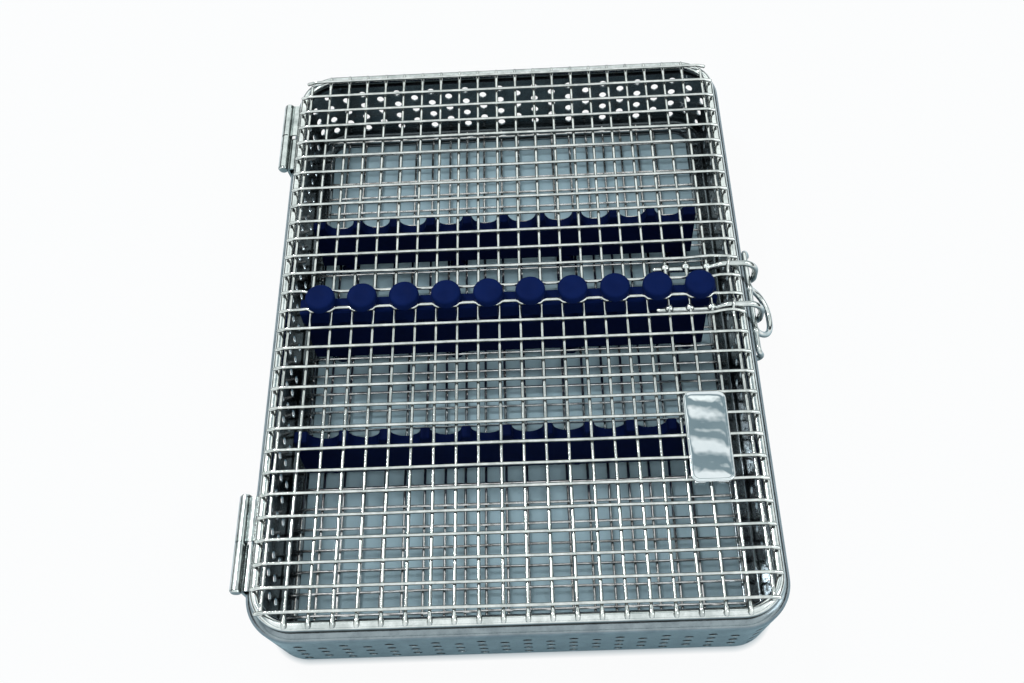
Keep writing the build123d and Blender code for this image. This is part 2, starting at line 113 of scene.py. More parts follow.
class Build:
    """Points and faces of several closed shells."""

    def __init__(self):
        self.verts = []
        self.faces = []

    def add(self, verts, faces):
        base = len(self.verts)
        self.verts.extend(tuple(map(float, v)) for v in verts)
        self.faces.extend([base + i for i in face] for face in faces)

    def tube(self, path, radius, sides=12, closed=False, dome=0.25):
        """A round wire along points; the radius may change from point to point."""
        p = np.array(path, float)
        n = len(p)
        radii = np.broadcast_to(np.array(radius, float), n)
        if closed:
            t = np.roll(p, -1, 0) - np.roll(p, 1, 0)
        else:
            t = np.gradient(p, axis=0)
        t /= np.linalg.norm(t, axis=1)[:, None]
        helper = np.array([0, 0, 1.0]) if abs(t[0][2]) < 0.9 else np.array([1.0, 0, 0])
        u = np.cross(t[0], helper)
        u /= np.linalg.norm(u)
        rings = []
        turn = np.arange(sides) * 2 * math.pi / sides
        for i in range(n):
            u = u - t[i] * (u @ t[i])
            u /= np.linalg.norm(u)
            v = np.cross(t[i], u)
            circle = np.outer(np.cos(turn), u) + np.outer(np.sin(turn), v)
            rings.append((p[i], circle, radii[i], t[i]))
        verts = []
        faces = []

        def ring(centre, circle, r):
            verts.extend(centre + circle * r)
            return len(verts) - sides

        def join(a, b):
            for k in range(sides):
                m = (k + 1) % sides
                faces.append((a + k, a + m, b + m, b + k))

        starts = []
        if not closed and dome:
            centre, circle, r, d = rings[0]
            for height, width in reversed(DOME_RINGS):
                starts.append(ring(centre - d * r * dome * height, circle, r * width))
        for centre, circle, r, _ in rings:
            starts.append(ring(centre, circle, r))
        if not closed and dome:
            centre, circle, r, d = rings[-1]
            for height, width in DOME_RINGS:
                starts.append(ring(centre + d * r * dome * height, circle, r * width))
        for a, b in zip(starts, starts[1:]):
            join(a, b)
        if closed:
            join(starts[-1], starts[0])
        else:
            faces.append(tuple(starts[0] + k for k in range(sides)))
            faces.append(tuple(starts[-1] + k for k in range(sides)))
        self.add(verts, faces)

    def lathe(self, profile, centre, axis="z", sides=32):
        """A turned solid: (radius, height) pairs about an axis, ending on it."""
        cx, cy, cz = centre
        verts = []
        for r, h in profile:
            for k in range(sides):
                a = 2 * math.pi * k / sides
                x, y = r * math.cos(a), r * math.sin(a)
                verts.append((cx + x, cy + y, cz + h) if axis == "z" else (cx + x, cy + h, cz + y))
        faces = ring_faces(len(profile), sides)
        last = (len(profile) - 1) * sides
        faces.append(tuple(range(sides)))
        faces.append(tuple(last + k for k in range(sides)))
        self.add(verts, faces)

    def prism(self, outline, place, low, high, bevel=0.0):
        """An outline pushed from low to high, its ends set in by a small bevel."""
        rims = [(low, bevel), (low + bevel, 0.0), (high - bevel, 0.0), (high, bevel)]
        if bevel == 0:
            rims = [(low, 0.0), (high, 0.0)]
        flat = np.array(outline, float)
        n = len(flat)
        verts = []
        for at, inset in rims:
            shape = inward(flat, inset) if inset else flat
            verts.extend(place(a, b, at) for a, b in shape)
        faces = ring_faces(len(rims), n)
        faces.append(tuple(range(n)))
        faces.append(tuple((len(rims) - 1) * n + k for k in range(n)))
        self.add(verts, faces)


def upright(a, b, at):
    """Places a prism whose outline lies flat and that rises along Z."""
    return a, b, at


def sideways(a, b, at):
    """Places a prism whose outline is (x, z) and that runs along Y."""
    return a, at, b


def inward(flat, inset):
    """A closed outline moved in by a distance, whichever way round it runs."""
    ahead = np.roll(flat, -1, 0) - flat
    behind = flat - np.roll(flat, 1, 0)
    x, y = flat[:, 0], flat[:, 1]
    area = float(np.sum(x * np.roll(y, -1) - np.roll(x, -1) * y))
    way = 1.0 if area > 0 else -1.0

    def normal(d):
        d = d / np.maximum(np.linalg.norm(d, axis=1), 1e-9)[:, None]
        return np.stack([-d[:, 1], d[:, 0]], 1) * way

    a, b = normal(ahead), normal(behind)
    m = a + b
    m /= np.maximum((m * a).sum(1), 0.5)[:, None]
    return flat + m * inset


def bent(points, radii, step=12.0):
    """A polyline with its inner corners rounded."""
    pts = [np.array(p, float) for p in points]
    if not isinstance(radii, (list, tuple)):
        radii = [radii] * (len(pts) - 2)
    out = [pts[0]]
    for i, radius in enumerate(radii, start=1):
        a = pts[i - 1] - pts[i]
        b = pts[i + 1] - pts[i]
        ua, ub = a / np.linalg.norm(a), b / np.linalg.norm(b)
        inner = math.acos(max(-1.0, min(1.0, float(ua @ ub))))
        turn = math.pi - inner
        if turn < 1e-3 or radius <= 0:
            out.append(pts[i])
            continue
        room_a = np.linalg.norm(a) * (0.98 if i == 1 else 0.499)
        room_b = np.linalg.norm(b) * (0.98 if i == len(radii) else 0.499)
        back = min(radius * math.tan(turn / 2), room_a, room_b)
        real = back / math.tan(turn / 2)
        centre = pts[i] + (ua + ub) / np.linalg.norm(ua + ub) * real / math.cos(turn / 2)
        start = pts[i] + ua * back - centre
        end = pts[i] + ub * back - centre
        count = max(3, int(math.degrees(turn) / step) + 1)
        for k in range(count + 1):
            s = k / count
            w = (math.sin((1 - s) * turn), math.sin(s * turn))
            out.append(centre + (start * w[0] + end * w[1]) / math.sin(turn))
    out.append(pts[-1])
    return out


def rounded_outline(half_x, half_y, radius, steps=14):
    """A closed rounded rectangle, counter-clockwise from the middle of the +X side."""
    pts = []
    for quarter, (sx, sy) in enumerate([(1, 1), (-1, 1), (-1, -1), (1, -1)]):
        for k in range(steps + 1):
            a = math.radians(90 * quarter + 90 * k / steps)
            x = sx * (half_x - radius) + radius * math.cos(a)
            y = sy * (half_y - radius) + radius * math.sin(a)
            pts.append((x, y))
    return pts


def split_runs(outline, step, like=None):
    """A closed outline with its long runs cut into steps, as many as the outline `like` has."""
    like = like or outline
    pts = []
    for i, a in enumerate(outline):
        after = (i + 1) % len(outline)
        b = outline[after]
        count = max(1, int(math.dist(like[i], like[after]) / step))
        for k in range(count):
            pts.append((a[0] + (b[0] - a[0]) * k / count, a[1] + (b[1] - a[1]) * k / count))
    return pts


def reach(across, half_along, half_across, radius):
    """How far a wire at `across` runs inside a rounded rectangle."""
    into = abs(across) - (half_across - radius)
    if into <= 0:
        return half_along
    return half_along - radius + math.sqrt(max(radius**2 - into**2, 0))


# ---- Materials -------------------------------------------------------------------------

def node_material(name):
    mat = bpy.data.materials.new(name)
    mat.use_nodes = True
    tree = mat.node_tree
    return mat, tree, tree.nodes["Principled BSDF"]


def add_node(tree, kind, inputs=None, **settings):
    node = tree.nodes.new(kind)
    for key, value in settings.items():
        setattr(node, key, value)
    for key, value in (inputs or {}).items():
        node.inputs[key].default_value = value
    return node


def ramp(tree, source, stops):
    node = tree.nodes.new("ShaderNodeValToRGB")
    elements = node.color_ramp.elements
    while len(elements) < len(stops):
        elements.new(0.5)
    for element, (at, colour) in zip(elements, stops):
        element.position = at
        element.color = (*colour, 1.0)
    tree.links.new(source, node.inputs["Fac"])
    return node.outputs["Color"]


def scaled(tree, colour, share):
    """A colour times a share that changes over the surface."""
    tint = add_node(tree, "ShaderNodeVectorMath", operation="SCALE")
    tree.links.new(colour, tint.inputs[0])
    tree.links.new(share, tint.inputs["Scale"])
    return tint.outputs["Vector"]


def steel(
    name, light, dark, rough=(0.1, 0.24), scale=220.0, grain=(1, 1, 1), bump=0.04, inner=1.0, under=1.0
):
    """Polished stainless steel with faint smears, scratches and dents.

    `inner` darkens what faces the middle of the tray and `under` what faces sideways and down; both are painted
    shade.
    """
    mat, tree, shader = node_material(name)
    place = add_node(tree, "ShaderNodeTexCoord")
    stretch = add_node(tree, "ShaderNodeMapping", {"Scale": grain})
    tree.links.new(place.outputs["Object"], stretch.inputs["Vector"])
    fine_grain = {"Scale": scale * 9, "Detail": 3.0, "Roughness": 0.6}
    fine = add_node(tree, "ShaderNodeTexNoise", fine_grain)
    tree.links.new(stretch.outputs["Vector"], fine.inputs["Vector"])
    smear = add_node(tree, "ShaderNodeTexNoise", {"Scale": scale, "Detail": 4.0, "Roughness": 0.62})
    tree.links.new(place.outputs["Object"], smear.inputs["Vector"])
    colour = ramp(tree, smear.outputs["Fac"], [(0.35, dark), (0.62, light)])
    # Painted shade: faces turned to the middle of the tray are darkened, for the shade inside the tray.
    if inner < 1:
        flat = add_node(tree, "ShaderNodeVectorMath", {1: (1.0, 1.0, 0.0)}, operation="MULTIPLY")
        tree.links.new(place.outputs["Object"], flat.inputs[0])
        facing = add_node(tree, "ShaderNodeVectorMath", operation="DOT_PRODUCT")
        tree.links.new(flat.outputs["Vector"], facing.inputs[0])
        tree.links.new(place.outputs["Normal"], facing.inputs[1])
        painted_shade = add_node(tree, "ShaderNodeMapRange", {"From Min": -0.03, "From Max": -0.005})
        painted_shade.inputs["To Min"].default_value = inner
        tree.links.new(facing.outputs["Value"], painted_shade.inputs["Value"])
        colour = scaled(tree, colour, painted_shade.outputs["Result"])
    # Painted shade: faces turned sideways and down are darkened, for the shade on their sides and undersides.
    if under < 1:
        facing = add_node(tree, "ShaderNodeSeparateXYZ")
        tree.links.new(place.outputs["Normal"], facing.inputs["Vector"])
        painted_shade = add_node(tree, "ShaderNodeMapRange", {"From Min": 0.1, "From Max": 0.5, "To Min": under})
        tree.links.new(facing.outputs["Z"], painted_shade.inputs["Value"])
        colour = scaled(tree, colour, painted_shade.outputs["Result"])
    tree.links.new(colour, shader.inputs["Base Color"])
    spread = add_node(tree, "ShaderNodeMapRange", {"To Min": rough[0], "To Max": rough[1]})
    spread.inputs["From Min"].default_value = 0.3
    spread.inputs["From Max"].default_value = 0.7
    tree.links.new(fine.outputs["Fac"], spread.inputs["Value"])
    tree.links.new(spread.outputs["Result"], shader.inputs["Roughness"])
    lumps = add_node(tree, "ShaderNodeBump", {"Strength": bump, "Distance": 0.0006})
    tree.links.new(smear.outputs["Fac"], lumps.inputs["Height"])
    tree.links.new(lumps.outputs["Normal"], shader.inputs["Normal"])
    shader.inputs["Metallic"].default_value = 1.0
    return mat


def silicone(name, light, dark):
    """Moulded navy silicone: matt, slightly dusty, with a faint leathery grain."""
    mat, tree, shader = node_material(name)
    place = add_node(tree, "ShaderNodeTexCoord")
    cloud = add_node(tree, "ShaderNodeTexNoise", {"Scale": 120.0, "Detail": 4.0})
    tree.links.new(place.outputs["Object"], cloud.inputs["Vector"])
    grain = add_node(tree, "ShaderNodeTexNoise", {"Scale": 2600.0, "Detail": 2.0})
    tree.links.new(place.outputs["Object"], grain.inputs["Vector"])
    colour = ramp(tree, cloud.outputs["Fac"], [(0.32, dark), (0.7, light)])
    tree.links.new(colour, shader.inputs["Base Color"])
    spread = add_node(tree, "ShaderNodeMapRange", {"To Min": 0.5, "To Max": 0.7})
    tree.links.new(cloud.outputs["Fac"], spread.inputs["Value"])
    tree.links.new(spread.outputs["Result"], shader.inputs["Roughness"])
    lumps = add_node(tree, "ShaderNodeBump", {"Strength": 0.12, "Distance": 0.0001})
    tree.links.new(grain.outputs["Fac"], lumps.inputs["Height"])
    tree.links.new(lumps.outputs["Normal"], shader.inputs["Normal"])
    shader.inputs["Specular IOR Level"].default_value = 0.03
    return mat


# Painted shade: the pan's steel is set darker and bluer than the wire steel, for the shade of the blue-grey
# floor it mirrors; `inner` adds painted shade inside the tray.
PAN_STEEL = steel(
    "pan_steel", (0.31, 0.36, 0.385), (0.22, 0.26, 0.285), rough=(0.13, 0.25), bump=0.12, inner=0.4
)
# The `under` shares of the steels below paint shade on faces turned sideways and down.
WIRE_STEEL = steel(
    "wire_steel", (0.84, 0.86, 0.84), (0.56, 0.59, 0.58), rough=(0.06, 0.14), bump=0.03, under=0.25
)
FLOOR_STEEL = steel("floor_wire_steel", (0.9, 0.9, 0.9), (0.58, 0.56, 0.55), rough=(0.08, 0.16), under=0.2)
RING_STEEL = steel(
    "ring_steel", (0.85, 0.88, 0.87), (0.6, 0.64, 0.63), rough=(0.08, 0.16), bump=0.08, under=0.12
)
HINGE_STEEL = steel(
    "hinge_steel", (0.7, 0.75, 0.74), (0.42, 0.46, 0.46), rough=(0.12, 0.24), grain=(1, 0.08, 1), under=0.5
)
LATCH_STEEL = steel(
    "latch_steel", (0.84, 0.87, 0.86), (0.56, 0.6, 0.59), rough=(0.06, 0.14), bump=0.05, under=0.35
)
# The label's large pale and blue-grey blotches are partly smudges on the plate and partly a painted reflection
# of bright and dark bands.
LABEL_STEEL = steel("label_steel", (0.9, 0.93, 0.94), (0.7, 0.76, 0.79), rough=(0.02, 0.06), scale=40, bump=0.5)
NAVY = silicone("navy_silicone", (0.0036, 0.0125, 0.078), (0.0024, 0.009, 0.058))
# Painted shade: the rails get a darker copy of the navy silicone, for the shade on their faces down inside the
# tray.
NAVY_RAIL_SHADED = silicone("navy_silicone_rail_shaded", (0.0022, 0.0075, 0.047), (0.0015, 0.005, 0.034))


# ---- Tray pan --------------------------------------------------------------------------

MID_Z = FIRST_ROW - 1.5 * ROW_PITCH
MID_R = TOP_R - (TRAY_H - MID_Z) * TAN
ROUND = 2 * SIDE_X + 2 * SIDE_Y + 2 * math.pi * MID_R
PITCH = ROUND / COLUMNS

# Every column and every row pitch is cut into this many steps.
STEPS = 6

# The rounded edges of the sheet's two rims: (distance in, distance through the sheet).
RIM_EDGE = ((0.3, 0.14), (0.4, 0.4), (0.3, 0.66))
# How far the edge of a punched hole is broken.
HOLE_EDGE = 0.12


def wall_base(travel):
    """The foot point and the facing of the wall after a walk from the latch side's middle."""
    travel = (travel + SIDE_Y / 2) % ROUND
    quarter = MID_R * math.pi / 2
    for turn, (sx, sy) in enumerate([(1, 1), (-1, 1), (-1, -1), (1, -1)]):
        facing = math.radians(90 * turn)
        straight = SIDE_X if turn % 2 else SIDE_Y
        back = max(straight - travel, 0)
        travel -= straight
        if travel <= quarter:
            a = facing + max(travel, 0) / MID_R
            x = sx * SIDE_X / 2 + back * math.sin(facing)
            y = sy * SIDE_Y / 2 - back * math.cos(facing)
            return x, y, a
        travel -= quarter
    return wall_base(travel - 1e-6)


def wall_r(z):
    return TOP_R - (TRAY_H - z) * TAN


def make_pan():
    verts = []
    faces = []
    spots = {}
    bend, foot = 2.4, 1.8
    bend_r = TOP_R - bend * math.tan((math.pi / 2 + LEAN) / 2)
    foot_r = TOP_R - TRAY_H * TAN - foot * math.tan((math.pi / 2 - LEAN) / 2)
    band_top = FIRST_ROW + ROW_PITCH / 2
    band_low = FIRST_ROW - 3.5 * ROW_PITCH
    half = STEPS // 2

    # Down the section of the sheet: (distance out, height, direction of the outer face).
    stations = [(9.4, TRAY_H, math.pi / 2), (10.2, TRAY_H, math.pi / 2)]
    for k in range(9):
        a = math.pi / 2 - (math.pi / 2 + LEAN) * k / 8
        stations.append((bend_r + bend * math.cos(a), TRAY_H - bend + bend * math.sin(a), a))
    stations.append((wall_r(band_top), band_top, -LEAN))
    upper_count = len(stations)
    stations.append((wall_r(band_low), band_low, -LEAN))
    for k in range(7):
        a = -LEAN - (math.pi / 2 - LEAN) * k / 6
        stations.append((foot_r + foot * math.cos(a), foot + foot * math.sin(a), a))
    stations.append(((foot_r + 4.6) / 2, 0.0, -math.pi / 2))
    stations.append((4.9, 0.0, -math.pi / 2))

    def spot(key, point):
        if key not in spots:
            spots[key] = len(verts)
            verts.append(point)
        return spots[key]

    around = COLUMNS * STEPS

    def travel_at(i):
        return LATCH_Y + PITCH * (1 + i / STEPS - 0.5)

    bases = [wall_base(travel_at(i)) for i in range(around)]

    def on_base(i, r, z):
        x, y, a = bases[i % around]
        return x + r * math.cos(a), y + r * math.sin(a), z

    def station_vert(i, s, inner):
        r, z, a = stations[s]
        d = SHEET if inner else 0.0
        return spot(("s", i % around, s, inner), on_base(i, r - d * math.cos(a), z - d * math.sin(a)))

    def band_vert(i, k, inner):
        """k runs down the band in sixths of a row pitch."""
        if k == 0:
            return station_vert(i, upper_count - 1, inner)
        if k == 4 * STEPS:
            return station_vert(i, upper_count, inner)
        z = band_top - ROW_PITCH * k / STEPS
        d = SHEET if inner else 0.0
        point = on_base(i, wall_r(z) - d * math.cos(LEAN), z + d * math.sin(LEAN))
        return spot(("b", i % around, k, inner), point)

    for i in range(around):
        for s in range(len(stations) - 1):
            if s == upper_count - 1:
                continue
            for inner in (False, True):
                quad = [
                    station_vert(i, s, inner),
                    station_vert(i + 1, s, inner),
                    station_vert(i + 1, s + 1, inner),
                    station_vert(i, s + 1, inner),
                ]
                faces.append(quad)
        for s, sign in ((0, 1), (len(stations) - 1, -1)):
            r, z, _ = stations[s]
            edge = [station_vert(i, s, False), station_vert(i + 1, s, False)]
            for step, (into, down) in enumerate(RIM_EDGE):
                ring = []
                for n in (i, i + 1):
                    point = on_base(n, r - into, z - sign * down)
                    ring.append(spot(("e", n % around, s, step), point))
                faces.append([edge[0], edge[1], ring[1], ring[0]])
                edge = ring
            faces.append([edge[0], edge[1], station_vert(i + 1, s, True), station_vert(i, s, True)])

    angles = [2 * math.pi * n / (4 * STEPS) for n in range(4 * STEPS)]

    def hole_cell(column, first_k):
        """One cell of the band with a round punched hole in its middle."""
        i0 = column * STEPS
        middle_travel = travel_at(i0 + half)
        z_mid = band_top - ROW_PITCH * (first_k + half) / STEPS
        loop = [(i0 + STEPS, first_k + half - n) for n in range(half)]
        loop += [(i0 + STEPS - n, first_k) for n in range(STEPS)]
        loop += [(i0, first_k + n) for n in range(STEPS)]
        loop += [(i0 + n, first_k + STEPS) for n in range(STEPS)]
        loop += [(i0 + STEPS, first_k + STEPS - n) for n in range(half)]
        rings = []
        for radius, depth in (
            (HOLE_R + HOLE_EDGE, 0.0), (HOLE_R, HOLE_EDGE),
            (HOLE_R, SHEET - HOLE_EDGE), (HOLE_R + HOLE_EDGE, SHEET),
        ):
            ring = []
            for a in angles:
                travel = middle_travel + radius * math.cos(a)
                z = z_mid + radius * math.sin(a)
                x, y, facing = wall_base(travel)
                r = wall_r(z) - depth * math.cos(LEAN)
                ring.append(len(verts))
                x += r * math.cos(facing)
                y += r * math.sin(facing)
                verts.append((x, y, z + depth * math.sin(LEAN)))
            rings.append(ring)
        count = len(angles)
        outer = [band_vert(i, k, False) for i, k in loop]
        inner = [band_vert(i, k, True) for i, k in loop]
        through = [outer, *rings, inner]
        for a, b in zip(through, through[1:]):
            for n in range(count):
                m = (n + 1) % count
                faces.append([a[n], a[m], b[m], b[n]])

    def plain_cell(column, first_k, count):
        i0 = column * STEPS
        for i in range(i0, i0 + STEPS):
            for k in range(first_k, first_k + count):
                for inner in (False, True):
                    faces.append(
                        [
                            band_vert(i, k, inner),
                            band_vert(i + 1, k, inner),
                            band_vert(i + 1, k + 1, inner),
                            band_vert(i, k + 1, inner),
                        ]
                    )

    for column in range(COLUMNS):
        if column % 2:
            plain_cell(column, 0, half)
            for hole in range(3):
                hole_cell(column, half + hole * STEPS)
            plain_cell(column, 4 * STEPS - half, half)
        else:
            for hole in range(4):
                hole_cell(column, hole * STEPS)
    piece("pan", verts, faces, "tray", PAN_STEEL, ["tray_pan"], sharp=40)


make_pan()


# ---- Floor mesh ------------------------------------------------------------------------

FLOOR_X, FLOOR_Y, FLOOR_R = 67.89, 96.19, 8.37
FLOOR_LONG_PITCH, FLOOR_CROSS_PITCH = 6.2, 6.65
FLOOR_LONG_Z, FLOOR_CROSS_Z = 1.25, 2.15
FLOOR_WIRE_R = 0.45
FLOOR_SWAY = 0.07
FLOOR_POINTS = 25


def sway(count, size):
    """Small slow wander for a hand-laid wire."""
    phase = [dice.uniform(0, 2 * math.pi) for _ in range(2)]
    t = np.linspace(0, 1, count)
    slow = np.sin(2 * math.pi * t * 1.3 + phase[0])
    quick = np.sin(2 * math.pi * t * 3.1 + phase[1])
    return size * (slow + 0.6 * quick)


long_floor = Build()
for i in range(LONG_WIRES):
    x = (i - 10.5) * FLOOR_LONG_PITCH
    end = reach(x, FLOOR_Y, FLOOR_X, FLOOR_R)
    y = np.linspace(-end, end, FLOOR_POINTS)
    side = x + sway(FLOOR_POINTS, FLOOR_SWAY)
    z = np.full(FLOOR_POINTS, FLOOR_LONG_Z)
    long_floor.tube(np.stack([side, y, z], 1), FLOOR_WIRE_R, 10)
cross_floor = Build()
for j in range(CROSS_WIRES):
    y = (j - 14) * FLOOR_CROSS_PITCH
    end = reach(y, FLOOR_X, FLOOR_Y, FLOOR_R)
    x = np.linspace(-end, end, FLOOR_POINTS)
    side = y + sway(FLOOR_POINTS, FLOOR_SWAY)
    z = np.full(FLOOR_POINTS, FLOOR_CROSS_Z)
    cross_floor.tube(np.stack([x, side, z], 1), FLOOR_WIRE_R, 10)
piece(
    "floor_mesh_long", long_floor.verts, long_floor.faces, "tray", FLOOR_STEEL,
    ["floor_wires_long"],
)
piece(
    "floor_mesh_cross", cross_floor.verts, cross_floor.faces, "tray", FLOOR_STEEL,
    ["floor_wires_cross"],
)


# ---- Silicone rails --------------------------------------------------------------------

NOTCH_R = 4.6
NOTCH_DEPTH = 4.9
NOTCH_PITCH = 12.0
RAIL_HALF = 1.9
PLUG_X = (-55.8, -18.6, 18.6, 55.8)
PLUG = [(2.1, 0.1), (2.5, 0.2), (2.62, 0.4), (2.5, 0.62), (1.7, 0.78), (1.5, 1.0), (1.5, 2.9)]


def rail_outline():
    """The comb from the side: (x, z), with ten U notches whose lips are rounded."""
    left, right, low, top = -64.33, 60.73, 2.7, 23.5
    soft = 0.45
    pts = []

    def arc(cx, cz, r, a0, a1, steps):
        for k in range(steps + 1):
            a = math.radians(a0 + (a1 - a0) * k / steps)
            pts.append((cx + r * math.cos(a), cz + r * math.sin(a)))

    arc(left + soft, low + soft, soft, 180, 270, 4)
    arc(right - soft, low + soft, soft, 270, 360, 4)
    arc(right - soft, top - soft, soft, 0, 90, 4)
    for n in reversed(range(10)):
        x = -1.8 + (n - 4.5) * NOTCH_PITCH
        z = top - NOTCH_DEPTH + NOTCH_R
        arc(x + NOTCH_R + soft, top - soft, soft, 90, 180, 4)
        arc(x, z, NOTCH_R, -4, -176, 16)
        arc(x - NOTCH_R - soft, top - soft, soft, 0, 90, 4)
    arc(left + soft, top - soft, soft, 90, 180, 4)
    return pts


def make_rail(name, node, y, stem_y):
    build = Build()
    build.prism(rail_outline(), sideways, y - RAIL_HALF, y + RAIL_HALF, bevel=0.3)
    for x in PLUG_X:
        build.lathe(PLUG, (x, stem_y, 0.0), sides=24)
    piece(name, build.verts, build.faces, "tray", NAVY_RAIL_SHADED, [node], sharp=28)


make_rail("comb_front", "rail_front", -39.5, -37.85)
make_rail("comb_middle", "rail_middle", 2.3, 2.3)
make_rail("comb_back", "rail_back", 38.8, 37.85)


# ---- Lid ring and mesh -----------------------------------------------------------------

ring = Build()
outline = rounded_outline(RING_X, RING_Y, RING_R, steps=18)
dense = [(x, y, RING_Z) for x, y in split_runs(outline, 8)]
ring.tube(dense, RING_ROD_R, 28, closed=True)
piece("lid_ring", ring.verts, ring.faces, "lid", RING_STEEL, ["lid_frame"], sharp=60)


def smooth_step(t):
    t = np.clip(t, 0, 1)
    return t * t * (3 - 2 * t)


def bump(x, centre, width, height):
    """A soft bump of a given full width."""
    t = np.clip(1 - np.abs(x - centre) / (width / 2), 0, 1)
    return height * smooth_step(t)


def over_ring(end, level):
    """The last points of a wire that follows the ring rod down from its top."""
    bend = RING_ROD_R + LID_WIRE_R
    pts = []
    for share in (0.35, 0.7, 1.0):
        a = math.radians(38.0 * share)
        pts.append((end + bend * math.sin(a), level - bend * (1 - math.cos(a))))
    return pts


def weld_swell(run, end, size):
    """A wire's radius along its run, swollen where it is welded on the ring."""
    near = np.clip(1 - np.abs(np.abs(run) - (end + 0.2)) / 2.6, 0, 1)
    return LID_WIRE_R + size * smooth_step(near)


LID_POINTS = 181

lid_long = Build()
for x in LONG_X:
    top = reach(x, RING_Y, RING_X, RING_R)
    run = np.linspace(-top, top - 0.9, LID_POINTS)
    z = np.full(len(run), LONG_Z)
    side = x + sway(len(run), 0.05)
    if x == LONG_X[-1]:  # the one that the latch arms pass under
        for arm_y in ARM_YS:
            z = z + bump(run, arm_y, 6.4, 2.0)
            side = side + bump(run, arm_y + 1.6, 5.0, 0.35) - bump(run, arm_y - 2.2, 5.0, 0.3)
    radii = weld_swell(run, top, np.where(run < 0, 0.3, 0.05))
    pts = [(side[0], -y, h) for y, h in reversed(over_ring(top, LONG_Z))]
    pts += list(zip(side, run, z))
    pts += [(side[-1], top - 0.5, LONG_Z - 0.03), (side[-1], top - 0.2, LONG_Z - 0.12)]
    lid_long.tube(pts, [0.6, 0.72, 0.78, *radii, 0.52, 0.5], 12, dome=0.1)
piece(
    "lid_mesh_long", lid_long.verts, lid_long.faces, "lid", WIRE_STEEL,
    ["lid_wires_long"], sharp=60,
)


def stem_bow(x, under, between):
    """The sideways bow of a cross wire that passes the stems of the button row."""
    wave = np.cos(2 * math.pi * (x - BUTTON_X[0]) / BUTTON_PITCH)
    shape = np.tanh(5.5 * wave + 0.6)
    inside = smooth_step((64.5 - np.abs(x)) / 3.0)
    return inside * (under * (1 + shape) / 2 + between * (1 - shape) / 2)


lid_cross = Build()
for j, y in enumerate(CROSS_Y):
    top = max(reach(y, RING_X, RING_Y, RING_R), 68.2)
    run = np.linspace(-top, top, LID_POINTS)
    side = y + sway(len(run), 0.05)
    # Wires 14 and 15 run on either side of the button row; 13 and 16 bend a little by the latch arms.
    if j == 14:
        side = side + stem_bow(run, -0.85, 0.2)
    elif j == 15:
        side = side + stem_bow(run, 0.0, -0.55)
    elif j == 13:
        side = side + bump(run, 66.0, 14.0, 0.8)
    elif j == 16:
        side = side + bump(run, 62.0, 16.0, 0.5)
    tip = [(top + out, CROSS_Z - down) for out, down in ((0.12, 0.68), (0.4, 0.8), (0.66, 0.95))]
    z = CROSS_Z - 0.62 * smooth_step((np.abs(run) - top + 2.3) / 2.3)
    pts = [(-x, side[0], h) for x, h in reversed(tip)]
    pts += list(zip(run, side, z))[1:-1]
    pts += [(x, side[-1], h) for x, h in tip]
    radii = weld_swell(run, top, 0.12)[1:-1]
    ends = [0.55, 0.6, 0.62]
    lid_cross.tube(pts, ends + list(radii) + ends[::-1], 12, dome=0.1)
piece(
    "lid_mesh_cross", lid_cross.verts, lid_cross.faces, "lid", WIRE_STEEL,
    ["lid_wires_cross"], sharp=60,
)


# ---- Hold-down bar ---------------------------------------------------------------------

bar = Build()
bar_side = rounded_outline(63.75, 2.75, 0.5, steps=4)
bar.prism([(a - 0.75, b + BAR_Y) for a, b in bar_side], upright, 24.0, 29.8, bevel=0.35)
# The stem and the crowned head of a button, with the small dimple in its middle.
button = [
    (1.5, 29.6), (1.5, 31.9), (3.9, 32.0), (4.3, 32.1), (4.52, 32.4), (4.55, 32.8), (4.55, 33.9),
    (4.5, 34.4), (4.34, 34.78), (4.05, 35.02), (3.6, 35.15), (2.6, 35.2), (1.5, 35.2),
    (1.3, 35.14), (0.3, 35.12),
]
for x in BUTTON_X:
    bar.lathe(button, (x, BAR_Y, 0.0), sides=40)
piece("press_bar", bar.verts, bar.faces, "lid", NAVY, ["hold_down_bar"], sharp=28)


# ---- Label plate -----------------------------------------------------------------------

LABEL_X, LABEL_Y = 54.95, -48.3
LABEL_HALF_X, LABEL_HALF_Y, LABEL_R = 6.15, 14.2, 2.5
TAB_X = (51.2, 57.6)
TAB_WIRE_Y = (-61.2, -34.0)

plate = Build()
# From the underside over the raised rim to the face: (distance in, height).
rims = [
    (0.25, 32.02), (0.0, 32.2), (0.0, 32.36), (0.1, 32.52), (0.28, 32.62), (0.46, 32.64), (0.62, 32.6),
    (0.8, 32.56), (1.1, 32.55), (1.5, 32.56), (2.0, 32.58), (2.8, 32.6), (3.8, 32.62),
    (4.8, 32.63), (5.8, 32.63),
]
verts = []
rim_outline = rounded_outline(LABEL_HALF_X, LABEL_HALF_Y, LABEL_R, steps=8)
for inset, z in rims:
    ring_pts = rounded_outline(
        LABEL_HALF_X - inset, LABEL_HALF_Y - inset, max(LABEL_R - inset, 0.25), steps=8
    )
    ring_pts = split_runs(ring_pts, 0.8, rim_outline)
    ring_size = len(ring_pts)
    swell = 0.085 * smooth_step((inset - 0.7) / 1.1)
    for a, b in ring_pts:
        wave = math.sin(2 * math.pi * b / 10.5 + 2.2 + 0.09 * a)
        verts.append((LABEL_X + a, LABEL_Y + b, z + swell * wave))
faces = ring_faces(len(rims), ring_size)
faces.append(tuple(range(ring_size)))
last = (len(rims) - 1) * ring_size
